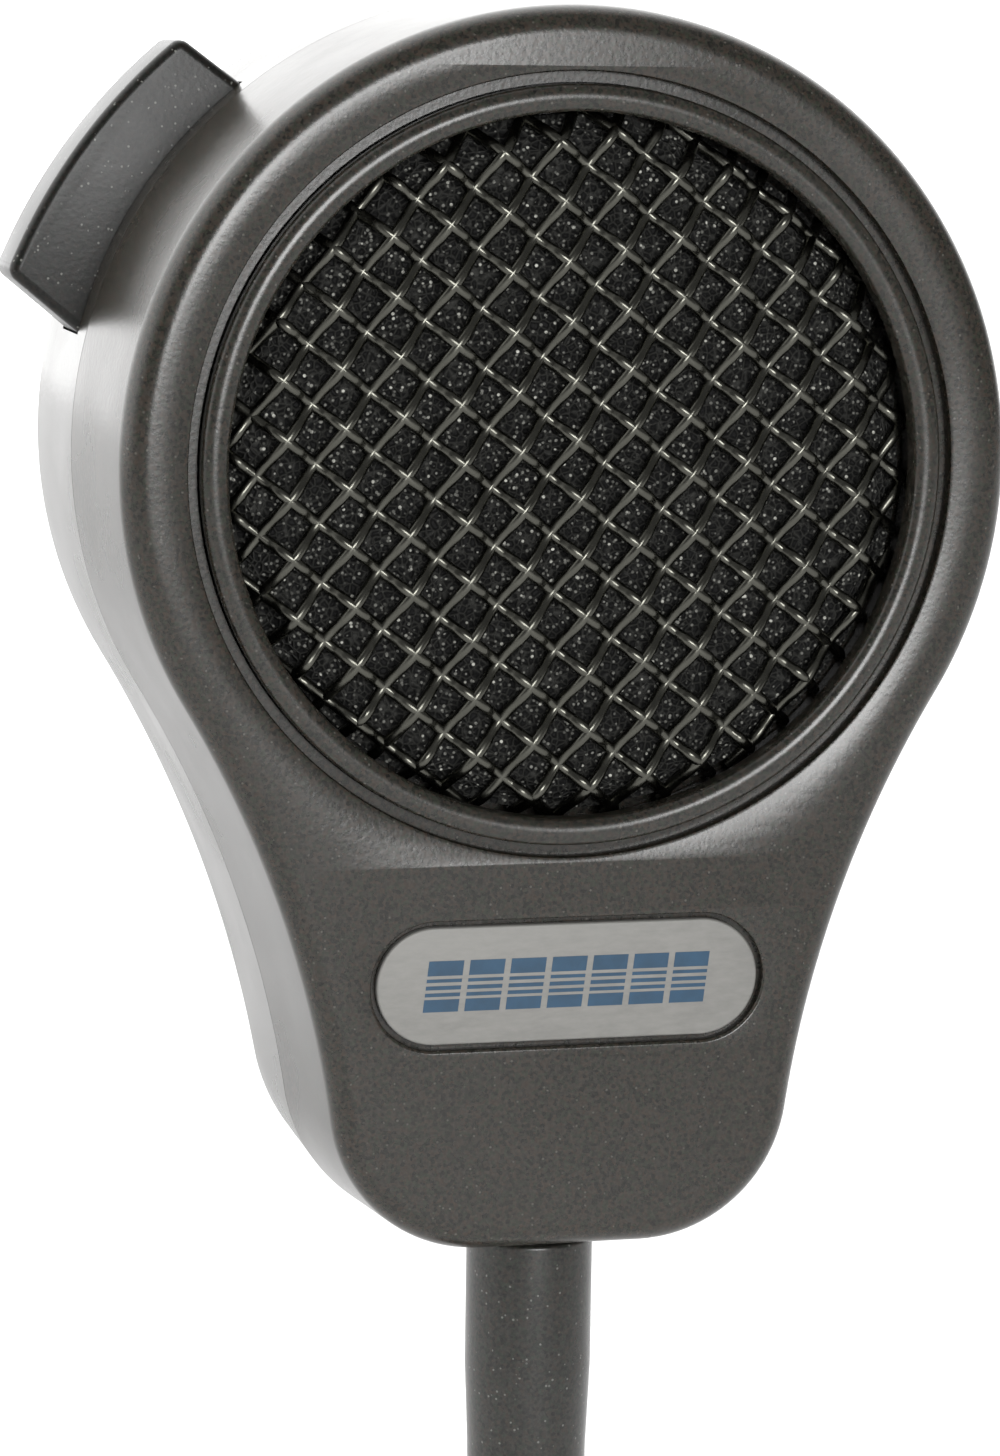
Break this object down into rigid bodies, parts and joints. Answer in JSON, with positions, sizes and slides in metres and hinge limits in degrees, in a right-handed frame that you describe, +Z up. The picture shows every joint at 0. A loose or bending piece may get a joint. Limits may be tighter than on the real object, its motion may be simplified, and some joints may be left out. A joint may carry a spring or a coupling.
{
  "type": "hand microphone",
  "caption": "Palm-held push-to-talk radio microphone with a round woven-wire grille, a side talk button, a rear hang-up button and a curly cord to a screw-ring plug.",
  "frame": {"origin": "centre of the hang-up button's flat end face on the back of the case, level with the grille's centre", "axes": "-Y out of the grille, +Y out of the back, +Z up towards the top of the head, +X to the right seen from the front; the cord leaves along -Z"},
  "size_m": [0.068, 0.0416, 0.3361],
  "materials": {
    "case_plastic": "dark charcoal brown with fine flecks, satin",
    "button_plastic": "dark charcoal, satin",
    "ring_plastic": "dark charcoal with fine flecks, semi-gloss",
    "mesh_wire": "woven steel wire, darkened",
    "foam": "black open-cell foam",
    "nameplate": "satin silver with a plain blue bar pattern",
    "rubber": "black matt",
    "cord_rubber": "black satin",
    "nickel": "nickel plated",
    "steel": "zinc plated",
    "brass": "bright",
    "spring_bronze": "phosphor bronze",
    "phenolic": "brown laminated board",
    "insert_plastic": "black moulded",
    "magnet": "ground ferrite",
    "aluminium": "drawn, satin",
    "film": "thin polyester film",
    "copper": "enamelled copper wire",
    "red_wire": "red insulation",
    "blue_wire": "blue insulation",
    "green_wire": "green insulation",
    "white_wire": "white insulation"
  },
  "bodies": {
    "case": {"front_cover": "case_plastic", "back_cover": "case_plastic", "grille_ring": "ring_plastic", "grille_mesh": "mesh_wire", "foam_windscreen": "foam", "nameplate": "nameplate", "shock_mount": "rubber", "capsule_cap": "aluminium", "pole_piece": "steel", "magnet": "magnet", "magnet_yoke": "steel", "capsule_case": "aluminium", "capsule_terminal_board": "phenolic", "capsule_lug_a": "brass", "capsule_lug_b": "brass", "ptt_spring": "steel", "switch_bracket": "steel", "stack_insulator_inner": "phenolic", "stack_insulator_middle": "phenolic", "stack_insulator_outer": "phenolic", "stack_clamp_plate": "steel", "stack_screw_1": "steel", "stack_screw_2": "steel", "fixed_leaf_1": "spring_bronze", "fixed_leaf_2": "spring_bronze", "fixed_contact_1": "nickel", "fixed_contact_2": "nickel", "bracket_screw": "steel", "case_screw_1": "steel", "case_screw_2": "steel", "case_screw_3": "steel", "hang_button": "nickel", "hang_screw": "steel", "strain_relief": "rubber", "inner_cable": "cord_rubber", "cable_clamp": "steel", "clamp_screw_1": "steel", "clamp_screw_2": "steel", "lead_red": "red_wire", "lead_blue": "blue_wire", "lead_green": "green_wire", "lead_white": "white_wire", "cord_tail_upper": "cord_rubber", "cord_curl": "cord_rubber", "cord_tail_lower": "cord_rubber", "plug_boot": "rubber", "plug_shell": "nickel", "plug_insert": "insert_plastic", "plug_contact_1": "brass", "plug_contact_2": "brass", "plug_contact_3": "brass", "plug_contact_4": "brass"},
    "talk_button": {"ptt_button": "button_plastic"},
    "leaf_1": {"moving_leaf_1": "spring_bronze", "moving_contact_1": "nickel"},
    "leaf_2": {"moving_leaf_2": "spring_bronze", "moving_contact_2": "nickel"},
    "voice_membrane": {"diaphragm": "film", "voice_coil": "copper"},
    "lock_ring": {"plug_ring": "nickel"}
  },
  "joints": [
    {"name": "talk_button_press", "type": "slide", "parent": "case", "child": "talk_button", "axis": [0.8049, 0, -0.5934], "range_m": [0, 0.0018], "stiffness_N_per_m": 1200, "springref_m": -0.0015, "deforming": ["ptt_spring"]},
    {"name": "leaf_1_bend", "type": "hinge", "parent": "case", "child": "leaf_1", "pos_m": [-0.02378, -0.0205, 0.00159], "axis": [0, 1, 0], "range_deg": [0, 7.5], "deforming": ["moving_leaf_1"]},
    {"name": "leaf_2_bend", "type": "hinge", "parent": "case", "child": "leaf_2", "pos_m": [-0.02378, -0.0131, 0.00159], "axis": [0, 1, 0], "range_deg": [0, 7.5], "deforming": ["moving_leaf_2"]},
    {"name": "membrane_travel", "type": "slide", "parent": "case", "child": "voice_membrane", "axis": [0, 1, 0], "range_m": [-0.00015, 0.00015], "stiffness_N_per_m": 40},
    {"name": "lock_ring_turn", "type": "hinge", "parent": "case", "child": "lock_ring", "pos_m": [0, -0.031, -0.3], "axis": [0, 0, 1], "continuous": true}
  ],
  "couplings": [
    {"joint": "leaf_1_bend", "follows": "talk_button_press", "rad_per_m": 68},
    {"joint": "leaf_2_bend", "follows": "talk_button_press", "rad_per_m": 68}
  ]
}
